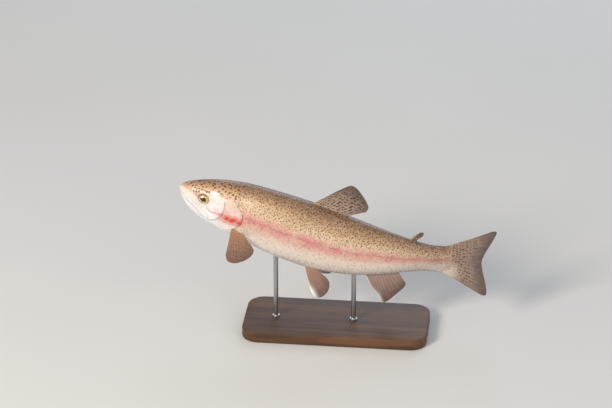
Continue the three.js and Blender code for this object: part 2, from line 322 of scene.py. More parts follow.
def new_piece(name, vertices, faces, material, attributes=None, replaces=(), mirrored=False):
    """A smooth mesh object that rides with the fish, its vertices already in the frame. The
    faces of a mirrored one are turned round."""
    if mirrored:
        faces = [face[::-1] for face in faces]
    mesh = bpy.data.meshes.new(name)
    mesh.from_pydata(vertices.tolist(), [], faces, shade_flat=False)
    for key, values in (attributes or {}).items():
        kind, field = ("FLOAT", "value") if values.ndim == 1 else ("FLOAT_VECTOR", "vector")
        mesh.attributes.new(key, kind, "POINT").data.foreach_set(field, values.ravel())
    mesh.materials.append(material)
    mesh.update()
    piece = add_object(name, mesh)
    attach(piece, "root")
    if replaces:
        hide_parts(*replaces)
    return piece


def grid_faces(rows, columns, wrapped=False):
    """Quads over a grid of vertices that are numbered row by row."""
    i, j = np.indices((rows - 1, columns if wrapped else columns - 1))
    near, far, right = i * columns, (i + 1) * columns, (j + 1) % columns
    return np.stack([near + j, near + right, far + right, far + j], -1).reshape(-1, 4)


def tube_faces(rows, columns):
    """Quads round a tube, and at each end a fan to one more vertex, which follow the grid's."""
    ring = np.arange(columns)
    following = (ring + 1) % columns
    last = (rows - 1) * columns
    start = np.full(columns, rows * columns)
    faces = grid_faces(rows, columns, wrapped=True)[:, ::-1].tolist()
    faces += np.stack([start, ring, following], -1).tolist()
    faces += np.stack([start + 1, last + following, last + ring], -1).tolist()
    return faces


def plate_faces(rows, columns):
    """Quads over both sides and the rim of a plate between two grids of vertices."""
    size = rows * columns
    index = np.arange(size).reshape(rows, columns)
    rim = np.concatenate([index[0, :-1], index[:-1, -1], index[-1, :0:-1], index[:0:-1, 0]])
    following = np.roll(rim, -1)
    edge = np.stack([rim, rim + size, following + size, following], -1)
    grid = grid_faces(rows, columns)
    return np.concatenate([grid, grid[:, ::-1] + size, edge]).tolist()


def add_unwrap(piece, places):
    """Gives a piece its OFBake map from one [u, v] for each vertex or each corner."""
    mesh = piece.data
    layer = mesh.uv_layers.new(name="OFBake")
    corners = np.empty(len(mesh.loops), int)
    mesh.loops.foreach_get("vertex_index", corners)
    values = places[corners] if len(places) == len(mesh.vertices) else places
    layer.data.foreach_set("uv", np.ascontiguousarray(values, np.float32).ravel())


# ---------- Materials ----------


def linear(code):
    """A colour given as sRGB hex digits, as the shader wants it."""
    channels = [int(code[i:i + 2], 16) / 255 for i in (0, 2, 4)]
    return [c / 12.92 if c <= 0.04045 else ((c + 0.055) / 1.055) ** 2.4 for c in channels] + [1.0]


class Look:
    """A Principled material. Its sockets take plain values, hex colours and nodes' values."""

    def __init__(self, name, **sockets):
        self.material = bpy.data.materials.new(name)
        self.material.use_nodes = True
        self.tree = self.material.node_tree
        self.shader = self.tree.nodes["Principled BSDF"]
        self.set(**sockets)

    def set(self, **sockets):
        for name, value in sockets.items():
            self.feed(self.shader.inputs[name.replace("_", " ")], value)

    def feed(self, socket, value):
        if isinstance(value, Value):
            self.tree.links.new(value.socket, socket)
        else:
            socket.default_value = linear(value) if isinstance(value, str) else value

    def node(self, kind, inputs, output=0, **settings):
        """The value that a new node gives out."""
        node = self.tree.nodes.new("ShaderNode" + kind)
        for key, value in settings.items():
            setattr(node, key, value)
        for key, value in inputs.items():
            self.feed(node.inputs[key], value)
        return Value(self, node.outputs[output])

    def number(self, name):
        return self.node("Attribute", {}, "Fac", attribute_name=name)

    def place(self, name="place"):
        return self.node("Attribute", {}, "Vector", attribute_name=name)

    def bump(self, height, distance, strength):
        inputs = {"Height": height, "Distance": distance * MM, "Strength": strength}
        self.set(Normal=self.node("Bump", inputs))
        return self.material


class Value:
    """What a node gives out. Arithmetic and the methods here carry it on through more nodes."""

    def __init__(self, look, socket):
        self.look = look
        self.socket = socket

    def math(self, operation, *others, clamp=False):
        inputs = dict(enumerate((self, *others)))
        return self.look.node("Math", inputs, operation=operation, use_clamp=clamp)

    def __add__(self, other):
        return self.math("ADD", other)

    def __sub__(self, other):
        return self.math("SUBTRACT", other)

    def __mul__(self, other):
        return self.math("MULTIPLY", other)

    def step(self, low, high):
        """0 at low, 1 at high, and smooth between. High may be the smaller."""
        inputs = {"Value": self, "From Min": low, "From Max": high}
        return self.look.node("MapRange", inputs, interpolation_type="SMOOTHSTEP")

    def ridge(self, centre, width):
        """1 where the value is at the centre, falling off on both sides."""
        return (self - centre).math("ABSOLUTE").step(width, 0)

    def axis(self, number):
        return self.look.node("SeparateXYZ", {0: self}, number)

    def scaled(self, factors):
        return self.look.node("VectorMath", {0: self, 1: factors}, operation="MULTIPLY")

    def noise(self, size, detail=2, roughness=0.5):
        """Noise from 0 to 1 with features of about that size, in the vector's units."""
        inputs = {"Vector": self, "Scale": 1 / size, "Detail": detail, "Roughness": roughness}
        return self.look.node("TexNoise", inputs, "Fac")

    def spots(self, cell, radius, amount, uneven=0.85, ragged=0.3, blur=0.22):
        """Spots up to that radius round the points of an uneven grid of cells."""
        inputs = {"Vector": self, "Scale": 1 / cell, "Randomness": uneven}
        distance = self.look.node("TexVoronoi", inputs, "Distance", voronoi_dimensions="2D")
        chance = Value(self.look, distance.socket.node.outputs["Color"]).axis(0)
        size = (chance * 0.45 + 0.55) * (radius / cell)
        wobble = self.noise(0.45 * cell) * ragged - 0.5 * ragged
        edge = size * amount - (distance + wobble)
        spot = (edge * (cell / blur)).math("ADD", 0.5, clamp=True)
        return spot * amount.step(0, 0.2)

    def mix(self, first, second):
        """The first colour where the value is 0, the second where it is 1."""
        return self.look.node("Mix", {0: self, 6: first, 7: second}, 2, data_type="RGBA")

    def tint(self, colour, share):
        """This colour with a share of another mixed in."""
        return share.mix(self, colour)

    def ramp(self, stops):
        """Colours at places from 0 to 1, smooth between."""
        colours = self.look.node("ValToRGB", {0: self})
        elements = colours.socket.node.color_ramp.elements
        while len(elements) < len(stops):
            elements.new(0.5)
        for element, (position, colour) in zip(elements, stops):
            element.position = position
            element.color = linear(colour)
        return colours


def away(x, z, from_x, from_z, stretch=1):
    """The distance in side view, in an ellipse drawn out along x by the stretch."""
    off_x = (x - from_x).math("DIVIDE", stretch)
    off_z = z - from_z
    return (off_x * off_x + off_z * off_z).math("SQRT")


BODY_COLOURS = [  # from the belly's midline, by the lateral line at 0.5, to the back's midline
    (0.0, "F1EAE2"), (0.18, "EFE6DD"), (0.31, "ECDACC"), (0.42, "E6CCBA"), (0.49, "E0C3AC"),
    (0.56, "E3CAAD"), (0.66, "DABA95"), (0.78, "C49C73"), (0.89, "A8815F"), (1.0, "886850"),
]
SPOT = "38221A"
CAUDAL_ROOT = "A98A72"
ROSE = "CE6D70"
GILL_RED = "C93F2C"


def body_colours(place, x, girth):
    """From the pale belly to the olive brown back, with a rose band along the side."""
    wander = place.noise(9, 3) * 0.16 - 0.08
    level = ((girth + wander) * 0.5).math("ADD", 0.5, clamp=True)
    patchy = place.scaled((0.45, 1, 1)).noise(7, 3).step(0.3, 0.66)
    return (
        level.ramp(BODY_COLOURS)
        .tint(ROSE, girth.ridge(-0.01, 0.33) * (patchy * 0.4 + 0.38))
        # Painted shade: the upper body is darker from behind the head onward.
        .tint("7A5C44", x.step(78, 135) * girth.step(0.15, 0.8) * 0.42)
        .tint("7F6656", x.step(215, 290) * 0.45)
        .tint(CAUDAL_ROOT, x.step(289, 300) * 0.6)
    )


def face_colours(place, x, z, above, from_eye, from_cheek):
    """Tan snout and crown, pale cheek and jaws, and a rosy gill cover with a red lower part. A painted
    reflection lies in an arc over the eye, and the cheek's pale patch behind the eye carries another.
    """
    flush = place.noise(3.2, 3, 0.6).step(0.4, 0.64)
    fold = away(x, z, 43, 5, 1.3).ridge(10.8, 2.4) * z.step(0, -3) * x.step(31, 38)
    cover = x.step(49, 56) * above.step(6, -2)
    red = (z + x * -0.12 + 13).ridge(0, 8.5) * x.step(43, 58)
    patchy = place.noise(4, 3).step(0.3, 0.6)
    return (
        above.step(-14, -3).mix("E9E8EA", "E3D5CD")
        .tint("C9A084", above.step(-1.4, 2.4))
        # Painted reflection: a pale lavender arc over the eye.
        .tint("E0D6DC", from_eye.ridge(8.6, 3.2) * z.step(5.5, 9) * 0.75)
        # The cheek's pale patch behind the eye: its own pale colour with a painted reflection on it.
        .tint("E2D7D1", from_cheek.step(7.5, 1.5) * 0.85)
        .tint("DE9488", z.ridge(-1, 9) * x.step(32, 44) * flush * 0.55)
        .tint("D9877B", fold * 0.55)
        .tint("E6C6B8", cover * z.step(-20, -13) * 0.6)
        .tint("E2BE94", cover * z.ridge(12, 6) * 0.5)
        .tint("D98679", cover * z.ridge(3, 10) * flush * 0.6)
        .tint(GILL_RED, red * (patchy * 0.5 + 0.6))
    )


def marked(look, soften):
    """The fish's colours and spots, the same for the skin and the scales over it. `soften` may
    shade the ground colour before the spots go on."""
    place, girth = look.place(), look.number("girth")
    x, z = place.axis(0), place.axis(2)
    from_eye = away(x, z, EYE["x"], EYE["z"])
    from_cheek = away(x, z, *CHEEK, 1.2)

    # The tan of the crown begins at a line from the snout tip over the eye to the nape.
    before_eye = x.step(15, 29) * -4.5 + 3.2
    behind_eye = x * 0.1 + 8.6
    above = z - (x.step(29, 37) * (behind_eye - before_eye) + before_eye)
    face = face_colours(place, x, z, above, from_eye, from_cheek)

    # Behind the gill opening the body's colours begin, and over the crown they run on.
    drop = z + 1
    edge = (drop.step(-2, 2) * 0.025 + 0.03) * drop * drop + x
    on_body = edge.step(73.5, 76).math("MAXIMUM", above.step(1, 12))
    colour = on_body.mix(face, body_colours(place, x, girth))
    behind_gill = edge.ridge(76, 5) * z.ridge(-5, 7) * edge.step(72, 74)
    colour = soften(colour.tint(GILL_RED, behind_gill * 0.6))

    # Small close spots on the body, larger and sparser ones on the head.
    flat = look.place("flat")
    on_back = x.step(50, 68) * girth.step(-0.16, 0.32)
    # No spots near the eye, nor on the cheek's pale patch with its painted reflection.
    clear = from_cheek.step(5, 8) * from_eye.step(6, 8.5)
    on_crown = x.step(78, 58) * above.step(-3, 4) * clear
    fine = flat.spots(2.75, 0.76, on_back) * 0.92
    broad = flat.spots(3.8, 1.2, on_crown)
    return colour.tint(SPOT, fine.math("MAXIMUM", broad) * 0.9)


def skin_material():
    look = Look(
        "trout_skin", Metallic=0.05, Coat_Weight=0.5, Coat_Roughness=0.12, IOR=1.42,
        Subsurface_Weight=0.08, Subsurface_Scale=1.5 * MM,
    )
    mottle = look.place().noise(2.6, 4, 0.6)
    grain = look.place().noise(0.55, 3, 0.6)
    dark = look.number("girth").step(-0.3, 0.3) * 0.17 + 0.05

    def soften(colour):
        colour = colour.tint("F8E4CE", mottle.step(0.5, 0.75) * 0.1)
        return colour.tint("6B4D3C", grain.step(0.52, 0.7) * dark)

    # Painted shade: the grooves and pits of the head, the lid's edge and the vent are darkened in the
    # colour.
    painted_shade = look.number("painted_shade").math("MULTIPLY", 0.85, clamp=True)
    look.set(Base_Color=marked(look, soften).tint("4A2A22", painted_shade), Roughness=grain * 0.25 + 0.26)
    return look.bump(mottle * 2 + grain, 0.09, 0.7)


def scale_material():
    look = Look("trout_scales", Coat_Weight=0.4, Coat_Roughness=0.18, IOR=1.42)
    shade, rim, girth = map(look.number, ("shade", "rim", "girth"))
    net = girth.step(-0.2, 0.4) * 0.16 + 0.18

    def soften(colour):
        colour = colour.tint("FFF0DE", shade.step(0.45, 1) * 0.13)
        colour = colour.tint("5A402D", shade.step(0.5, 0) * 0.15)
        return colour.tint("5E4533", rim.step(0.66, 1) * net)

    colour = marked(look, soften).tint("6A4438", look.number("pore") * 0.45)
    silver = girth.step(0.15, -0.4) * 0.22 + 0.04
    look.set(Base_Color=colour, Metallic=silver, Roughness=shade * 0.16 + 0.26)
    rings = (rim * 55).math("SINE")
    return look.bump(rings * 0.3 + look.place().noise(0.35), 0.03, 0.5)


# ---------- The skin ----------

HEAD_ROWS = 222
BODY_ROWS = 80
CAP_ROWS = 4
AROUND = 304
HEAD_END = 78
SNOUT_ROUNDING = 1.35
FIRST_ROW = 0.06
RELIEF_ENDS = 92  # the head's features and the hollow behind its edge lie before this station


def line_field(x, z, line, spans=28):
    """Distance from a smooth line in side view, positive behind or below it, and the share
    of the way along it."""
    corners = catmull_rom(line, np.linspace(0, 1, spans + 1))
    run = np.diff(corners, axis=0)
    gap = np.stack([x, z], -1)[:, None] - corners[:-1]
    t = np.clip((gap * run).sum(-1) / (run * run).sum(-1), 0, 1)
    gap -= t[..., None] * run
    distance = np.hypot(gap[..., 0], gap[..., 1])
    ahead = run[:, 1] * gap[..., 0] > run[:, 0] * gap[..., 1]
    nearest = np.arange(len(x)), distance.argmin(axis=1)
    share = (np.arange(spans) + t) / spans
    return np.where(ahead, -distance, distance)[nearest], share[nearest]


def mouth_relief(x, _, z):
    """The lips along the gape, and the maxilla over them."""
    gape, along = line_field(x, z, MOUTH)
    shut = step(along, 1.0, 0.95)
    rise = shut * (0.3 * ridge(np.abs(gape) - 1.1, 0.8) - 0.9 * ridge(gape, 0.5))
    # Painted shade darkens the closed gape.
    painted_shade = shut * 0.85 * ridge(gape, 0.5)
    off, along = line_field(x, z, MAXILLA)
    plate = 0.9 + 1.3 * along
    rim = ridge(np.abs(off) - plate - 0.6, 0.55)
    rise += 0.5 * step(np.abs(off), plate + 0.5, plate - 0.3) - 0.22 * rim
    # Painted shade also lies in the groove round the front of the maxilla.
    return rise, painted_shade + 0.25 * rim * step(along, 0.0, 0.3)


def eye_relief(x, _, z):
    """The orbit with its lids and brow, the nostrils, and the swell of the cheek."""
    over_eye = z - EYE["z"]
    from_eye = np.hypot(x - EYE["x"], over_eye * EYE["round"] / EYE["high"])
    rise = -0.9 * step(from_eye, 6.8, 5.7) * (1 - 0.6 * step(over_eye, 1, 4.5))
    rise -= 1.8 * step(from_eye, 5.6, 4.8)
    rise += 0.3 * ridge(from_eye - 7.5, 0.9)
    rise += 0.6 * ridge(from_eye - 9, 1.8) * step(over_eye, 1, 5)
    rise -= 0.16 * ridge(from_eye - 11, 0.6) * step(over_eye, 1, -4)
    # Painted shade along the lid's edge round the eye.
    painted_shade = 0.5 * ridge(from_eye - 5.9, 0.5)
    for nostril_x, nostril_z in NOSTRILS:
        from_nostril = np.hypot((x - nostril_x) * 1.25, (z - nostril_z) * 0.85)
        rise += 0.08 * ridge(from_nostril - 1.3, 0.6) - 1.05 * ridge(from_nostril, 0.65)
        # Painted shade in each nostril's pit.
        painted_shade += 1.5 * ridge(from_nostril, 0.6)
    return rise + 0.45 * ridge(np.hypot((x - 43) / 1.3, z + 1), 7), painted_shade


def seam_relief(x, _, z):
    """The preopercle's raised edge, the seams of the gill cover's bones and the cheek's fold."""
    off, along = line_field(x, z, PREOPERCLE)
    ends = step(along, 0, 0.12) * step(along, 1, 0.88)
    rise = ends * 0.45 * step(off, 0.45, -0.45) * np.exp(np.minimum(off, 0) / 4)
    # Painted shade in the groove behind the preopercle's raised edge, and a wider faint dark band
    # behind it that stands for dark pigment and shade together.
    painted_shade = ends * (0.3 * ridge(off - 0.3, 0.5) + 0.2 * ridge(off - 0.4, 1.6))
    for seam in (SUBOPERCLE_TOP, INTEROPERCLE_TOP, CHEEK_FOLD):
        off, along = line_field(x, z, seam)
        ends = step(along, 0, 0.1) * step(along, 1, 0.9)
        rise -= ends * 0.28 * ridge(off, 0.6)
        # Painted shade in each seam.
        painted_shade += ends * 0.25 * ridge(off, 0.55)
    return rise, painted_shade


def gill_relief(x, _, z):
    """The gill cover's free edge and faint rays, and the rays of the membrane under it."""
    edge, _ = line_field(x, z, GILL_EDGE)
    on_cover = step(x, 54, 58) * step(edge, -0.8, -2) * step(z, -12, -8) * step(z, 15, 11)
    rise = 0.02 * on_cover * np.cos(np.arctan2(z - 12, x - 50) * 46)
    open_here = step(z, 17, 11)
    rise += open_here * 0.35 * step(edge, 0.35, -0.35) * np.exp(np.minimum(edge, 0) / 2.5)
    rise -= open_here * 1.15 * step(edge, -0.25, 0.45) * np.exp(-np.maximum(edge, 0) / 2.2)
    rays = step(z, -18.5, -21) * step(edge, -9.5, -8) * step(edge, -0.6, -1.4)
    rise -= rays * 0.25 * (0.5 + 0.5 * np.cos(2 * math.pi * edge / 1.9))
    # Painted shade just behind the gill cover's free edge.
    return rise, open_here * 0.7 * ridge(edge - 0.5, 0.5)


def throat_relief(x, y, z):
    """The jaw's inner edges, and the groove along the middle of the throat."""
    off = np.abs(y) - 12.5 * (np.clip(x, 0, 40) / 38) ** 0.8
    below = step(z, -3, -7) * step(x, 4, 9) * step(x, 38, 33)
    throat = step(x, 30, 36) * step(x, 58, 52) * step(z, -10, -16)
    rise = -below * 0.45 * ridge(off, 0.6) - throat * 0.5 * ridge(y, 0.9)
    # Painted shade in the groove along the jaw's inner edge.
    return rise, below * 0.3 * ridge(off, 0.5)


def body_relief(x, y, z):
    """Sheaths at the roots of the dorsal and anal fins, and the vent."""
    rise = 0.5 * ridge(y, 2.2) * step(x, 132, 140) * step(x, 182, 174) * (z > 0)
    rise += 0.5 * ridge(y, 1.8) * step(x, 207, 214) * step(x, 248, 242) * (z < 0)
    from_vent = np.hypot(x - VENT, y)
    below = z < -10
    rise += below * (0.7 * ridge(from_vent, 2.4) - 1.1 * ridge(from_vent, 0.8))
    # Painted shade in the vent.
    return rise, below * 0.8 * ridge(from_vent, 0.7)


HEAD_RELIEFS = (mouth_relief, eye_relief, seam_relief, gill_relief, throat_relief)


def relief(points):
    """How far the features rise at points of the plain surface, and how much painted shade darkens
    their grooves and pits.
    """
    x, y, z = np.moveaxis(points, -1, 0)
    rise, painted_shade = body_relief(x, y, z)
    on_head = x < RELIEF_ENDS
    for feature in HEAD_RELIEFS:
        more_rise, more_painted_shade = feature(x[on_head], y[on_head], z[on_head])
        rise[on_head] += more_rise
        painted_shade[on_head] += more_painted_shade
    return rise, np.clip(painted_shade, 0, 1)


def skin_stations():
    """Stations of the rings of vertices, closest at the snout and round the tail end."""
    head = FIRST_ROW + (HEAD_END - FIRST_ROW) * np.linspace(0, 1, HEAD_ROWS) ** SNOUT_ROUNDING
    tail_end = FLESH_END - FLESH_END_ROUNDING
    body = np.linspace(HEAD_END, tail_end, BODY_ROWS + 1)[1:]
    cap = FLESH_END_ROUNDING * np.sin(np.linspace(0, math.pi / 2, CAP_ROWS + 2)[1:-1])
    return np.concatenate([head, body, tail_end + cap])


def build_skin(material):
    """One closed skin over the head, jaw, gill covers, trunk and tail stalk."""
    angle = np.linspace(-math.pi, math.pi, AROUND, endpoint=False)[None, :]
    x, angle = np.broadcast_arrays(skin_stations()[:, None], angle)
    base = surface(x, angle)
    rise, painted_shade = relief(base)
    shaped = base + outward(x, angle) * rise[..., None]
    ends = [surface(np.array(end), np.array(0.0)) for end in (0.0, FLESH_END)]
    body_space = np.vstack([shaped.reshape(-1, 3), *ends])
    arc = back_arc(x, angle)
    girth = girth_at(x, line_arc(x) - np.abs(arc))
    flat = np.stack([x, arc, 0 * x], -1).reshape(-1, 3)
    attributes = {
        "place": body_space,
        "flat": np.vstack([flat, (0, 0, 0), (FLESH_END, 0, 0)]),
        "girth": np.append(girth, [0, 0]),
        # the painted shade of the grooves and pits, for the skin's colour
        "painted_shade": np.append(painted_shade, [0, 0]),
    }
    rows = len(x)
    faces = tube_faces(rows, AROUND)
    flesh = ["head", "lower_jaw", "trunk", "tail_stalk", "gill_cover_left", "gill_cover_right"]
    piece = new_piece(
        "trout_skin", posed(body_space), faces, material, attributes, flesh
    )
    add_unwrap(piece, skin_unwrap(faces, rows))


def skin_unwrap(faces, rows):
    """Places on the map for each corner, with the seam along the belly's midline."""
    corners = np.concatenate(faces)
    row, column = np.divmod(corners, AROUND)
    own_column = np.repeat(np.arange(len(faces)) % AROUND, [len(face) for face in faces])
    column = np.where(column < own_column, AROUND, column)
    column = np.where(row == rows, own_column + 0.5, column)
    row = np.where(corners == rows * AROUND, -1, row)
    return np.stack([(row + 1) / (rows + 1), column / AROUND], -1)


# ---------- The scales ----------

SCALE_PITCH = 1.72  # along the body
ROW_PITCH = 1.87  # between neighbouring rows, at the thickest part
SCALE_LENGTH = 2.95
SCALE_WIDTH = 2.5
SCALE_RISE = 0.3  # how high the free edge stands over the skin
SCALE_ROOT = -0.14
SCALE_THICKNESS = 0.1
SCALES_START, SCALES_END = 56.5, 299
SINKING = 13  # the length behind the head over which the scales come out of the skin
MID_ROW = 50  # stands for the single row along the middle of the back, negative on the belly
MID_GAP = 0.35  # the least distance of the other rows from it, in row pitches
INNER, OUTER = 6, 12  # vertices on the two rings of a scale
PATCH = 0.003


def scale_shape():
    """One scale as a closed plate: places [along, across, height], and its triangles."""
    places = [(0.12, 0.0, 0.56)]
    for share, count in ((0.55, INNER), (1.0, OUTER)):
        for turn in np.linspace(0, 2 * math.pi, count, endpoint=False):
            along, across = share * math.cos(turn), share * math.sin(turn)
            across *= 1 - 0.12 * along
            places.append((along, across, 0.5 + 0.5 * along + 0.1 * (1 - share)))
    places.append((0.1, 0.0, 0.22))
    top, under = 0, len(places) - 1
    inner = 1 + np.arange(INNER + 1) % INNER
    outer = 1 + INNER + np.arange(OUTER + 1) % OUTER
    faces = []
    for a, b, c, d, e in zip(inner, inner[1:], outer[::2], outer[1::2], outer[2::2]):
        faces += [(top, a, b), (a, c, d), (a, d, b), (b, d, e)]
    faces += [(under, b, a) for a, b in zip(outer, outer[1:])]
    return np.array(places), np.array(faces)


def scale_front(z):
    """The station where scales begin: the nape, then just behind the gill opening."""
    edge = catmull_rom(GILL_EDGE, np.linspace(0, 1, 60))
    return np.interp(-z, -edge[:, 1], edge[:, 0])


def lay_rows(side):
    """Scales of one side, each [station, arc over the lateral line, size, row, sinking]."""
    found = []
    for column, x in enumerate(np.arange(SCALES_START, SCALES_END, SCALE_PITCH / 2)):
        size = float((half_girth(x) / HALF_GIRTHS.max()) ** 0.45)
        pitch = ROW_PITCH * size
        top, bottom = line_arc(x), line_arc(x) - half_girth(x)
        lowest, highest = math.ceil(bottom / pitch + MID_GAP), math.floor(top / pitch - MID_GAP)
        rows = np.arange(lowest, highest + 1)
        found += [(x, row * pitch, size, row, 0) for row in rows if (row + column) % 2 == 0]
        if side == LEFT and column % 2 == 0:
            found += [(x, top, size, MID_ROW, 0), (x, bottom, size, -MID_ROW, 0)]
    found = np.array(found)
    x, rise = found[:, 0], found[:, 1]
    height = surface(x, angle_at(x, rise, side))[:, 2]
    behind = x - scale_front(height) - 0.9 * step(height, 15, 11)
    tail = step(x, SCALES_END, SCALES_END - 9)
    found[:, 4] = (0.3 + 0.7 * step(behind, 0, SINKING)) * (0.45 + 0.55 * tail)
    return found[behind > 0]


def over_body(x, rise, side, lift):
    """Points in body space at heights over the body with its features."""
    angle = angle_at(x, rise, side)
    plain = surface(x, angle)
    return plain + outward(x, angle) * (lift + relief(plain)[0])[..., None]


def build_scales(name, found, side, material, dice):
    """One mesh of overlapping closed scales, each bent to the body under it."""
    shape, triangles = scale_shape()
    count, corners = len(found), len(shape)
    x0, rise0, size, row, sinking = found.T[:, :, None]
    jitter = dice.uniform(-1, 1, (count, 3))
    long = SCALE_LENGTH / 2 * (1 + 0.05 * jitter[:, :1])
    wide = SCALE_WIDTH / 2 * size * (1 + 0.05 * jitter[:, 1:2])
    along, across, height = shape.T
    x = np.clip(x0 + 0.35 + along * long, 1, FLESH_END - 0.5)
    rise = rise0 + across * wide + 0.06 * jitter[:, 2:]
    lift = SCALE_ROOT + (SCALE_RISE - SCALE_ROOT) * height * size**0.5
    lift[:, -1] -= SCALE_THICKNESS
    points = over_body(x, rise, side, lift * sinking).reshape(-1, 3)
    faces = (triangles + np.arange(count)[:, None, None] * corners).reshape(-1, 3).tolist()
    from_back = (line_arc(x) - rise) * side
    attributes = {
        "place": points,
        "flat": np.stack([x, from_back, 0 * x], -1).reshape(-1, 3),
        "girth": girth_at(x, rise).ravel(),
        "shade": np.repeat(dice.uniform(0, 1, count), corners),
        "rim": np.tile(np.clip(along, 0, 1), count),
        "pore": ((row == 0) * ridge(across, 0.2) * step(along, -0.2, 0.2)).ravel(),
    }
    piece = new_piece(
        name, posed(points), faces, material, attributes, mirrored=side == RIGHT
    )
    sharpen_rims(piece.data, corners)
    turn = (angle_at(x0, rise0, side) + math.pi) % (2 * math.pi) / (2 * math.pi)
    root = np.stack([x0 / FLESH_END, turn], -1)
    add_unwrap(piece, (root + shape[:, :2] * PATCH / 2).reshape(-1, 2))


def sharpen_rims(mesh, corners):
    """Marks the outer ring of each scale as a sharp edge, so that its top shades as a thin plate."""
    ends = np.empty(2 * len(mesh.edges), int)
    mesh.edges.foreach_get("vertices", ends)
    local = ends.reshape(-1, 2) % corners
    on_ring = np.all((local > INNER) & (local < corners - 1), axis=1)
    mesh.edges.foreach_set("use_edge_sharp", on_ring)


STRIPS = {"back": (14, 99), "flank": (-14, 14), "belly": (-99, -14)}


def build_coat(material):
    dice = np.random.default_rng(7)
    for word, side in SIDES.items():
        found = lay_rows(side)
        rise = found[:, 3] * ROW_PITCH
        for strip, (low, high) in STRIPS.items():
            chosen = found[(rise >= low) & (rise < high)]
            build_scales(f"scales_{strip}_{word}", chosen, side, material, dice)


# ---------- Fins ----------

FIN_TIP_HALF = 0.17

FINS = {
    "dorsal_fin": {
        "root": [(136, 32.5), (175, 30)],
        "tips": [(159, 57), (171.5, 67.5), (179.5, 67.5), (190, 59.5), (198, 50), (197, 43.5)],
        "rays": 13, "thick": 2.2,
        "sway": lambda along, out: -3 * out * out * (0.4 + along),
        "web": {"foot": "B89C87", "edge": "67574F", "dark": 0.7, "spots": 0.9, "spread": (0.7, 1.25)},
    },
    "adipose_fin": {
        "root": [(250, 17), (256, 16)],
        "tips": [(257, 25), (261, 28), (264, 27.4), (263.4, 24), (260, 20.6)],
        "rays": 0, "thick": 2.4,
        "sway": lambda along, out: 0.6 * out,
        "web": {"foot": "9C7A5F", "edge": "6E5645", "dark": 0.45, "spots": 0.85, "spread": (0.9, 1.1)},
    },
    "anal_fin": {
        "root": [(210, -28.2), (244, -19)],
        "tips": [
            (227, -49.5), (234.5, -58.8), (240, -58.4), (247, -49.4), (254, -39.8), (255.5, -34.2),
        ],
        "rays": 12, "thick": 2.0,
        "sway": lambda along, out: 2 * out * out,
        "web": {"foot": "A58A7E", "edge": "755C55", "dark": 0.45, "white": 0.95},
    },
    "caudal_fin": {
        "root": [(291, 15.4), (291, -14.8)],
        "tips": [
            (326, 31.5), (337, 36.8), (341.5, 35.4), (338.6, 25), (333.4, 11), (331, 0.5),
            (333.4, -10), (338.6, -24), (341.5, -36), (337, -37.8), (325, -31.6),
        ],
        "rays": 21, "thick": 3.0,
        "sway": lambda along, out: 2.4 * out * out * np.cos(math.pi * (along - 0.35)),
        "web": {
            "foot": CAUDAL_ROOT, "edge": "7D6C64", "dark": 0.75, "spots": 0.8, "spread": (0.35, 1.0),
            "pale_base": 0.6,
        },
    },
}
PAIRED_FINS = {
    "pectoral_fin": {
        "at": (70.5, 15.2, -15.5), "outward": (0.2, 0.93, -0.3), "backward": (1, 0.1, -0.1),
        "root": [(-3.6, -1.5), (5, -1.5)],
        "tips": [(-6, 36), (-3.5, 44.5), (4, 45.5), (13.5, 39), (20, 30.5), (22, 23), (19.5, 18)],
        "rays": 13, "thick": 3.0, "cup": 3,
        "web": {"foot": "C29475", "edge": "8A6A58", "dark": 0.35, "spots": 0.35, "spread": (0.7, 1.1)},
    },
    "pelvic_fin": {
        "at": (153, 7.5, -34), "outward": (0.55, 0.62, -0.56), "backward": (0.8, -0.5, 0.3),
        "root": [(-3, -1.5), (5, -1.5)],
        "tips": [(-5, 26), (-3, 33.5), (4, 34.5), (12, 29.5), (16, 22), (15, 16)],
        "rays": 10, "thick": 2.6, "cup": 2,
        "web": {"foot": "AC8672", "edge": "7B5D52", "dark": 0.5, "white": 0.9},
    },
}
COLUMNS_PER_RAY = 14
FIN_ROWS = 52
SPOT_ROWS = 3.7  # the distance between rows of spots along a ray
JOINT_PITCH = 1.1  # and between a ray's joints


def ray_relief(along, out, rays):
    """How near a point is to the crest of a ray, from 0 to 1. The rays fork twice."""
    if not rays:
        return np.zeros(along.shape)
    off = np.abs((along * rays) % 1 - 0.5)
    first = np.abs(off - 0.25 * step(out, 0.3, 0.95))
    second = np.abs(first - 0.125 * step(out, 0.6, 1.05))
    return np.maximum(ridge(second, 0.15 - 0.085 * step(out, 0.2, 0.8)), ridge(along, 0.03))


def fin_mesh(fin, place):
    """A thin plate of rays: its number of columns and its points' attributes."""
    rays = fin["rays"]
    columns = max(rays, 2) * COLUMNS_PER_RAY + 1
    along, out = np.meshgrid(np.linspace(0, 1, columns), np.linspace(0, 1, FIN_ROWS))
    crest = ray_relief(along, out, rays)
    # The web is a little shorter than the rays at the fin's edge.
    reach = out * (1 - (0.006 if rays else 0) * (1 - crest) * out**12)
    start, end = np.array(fin["root"], float)
    foot = start + (end - start) * along[..., None]
    tip = catmull_rom(fin["tips"], along)
    flat = foot + (tip - foot) * reach[..., None]
    half = fin["thick"] / 2 + (FIN_TIP_HALF - fin["thick"] / 2) * np.sqrt(out)
    if rays:
        half = 0.85 * half + 0.13 * crest * (1 - 0.55 * out)
    sides = [place(flat[..., 0], flat[..., 1], face * half, along, out) for face in (1, -1)]
    length = np.linalg.norm(tip - foot, axis=-1) * out
    spot_grid = np.stack([along * max(rays, 2) + 0.5, length / SPOT_ROWS, 0 * out], -1)
    return columns, {
        "place": np.concatenate(sides).reshape(-1, 3),
        "flat": np.tile(spot_grid.reshape(-1, 3), (2, 1)),
        "ray": np.tile(crest.ravel(), 2),
        "reach": np.tile(out.ravel(), 2),
        "along": np.tile(along.ravel(), 2),
    }


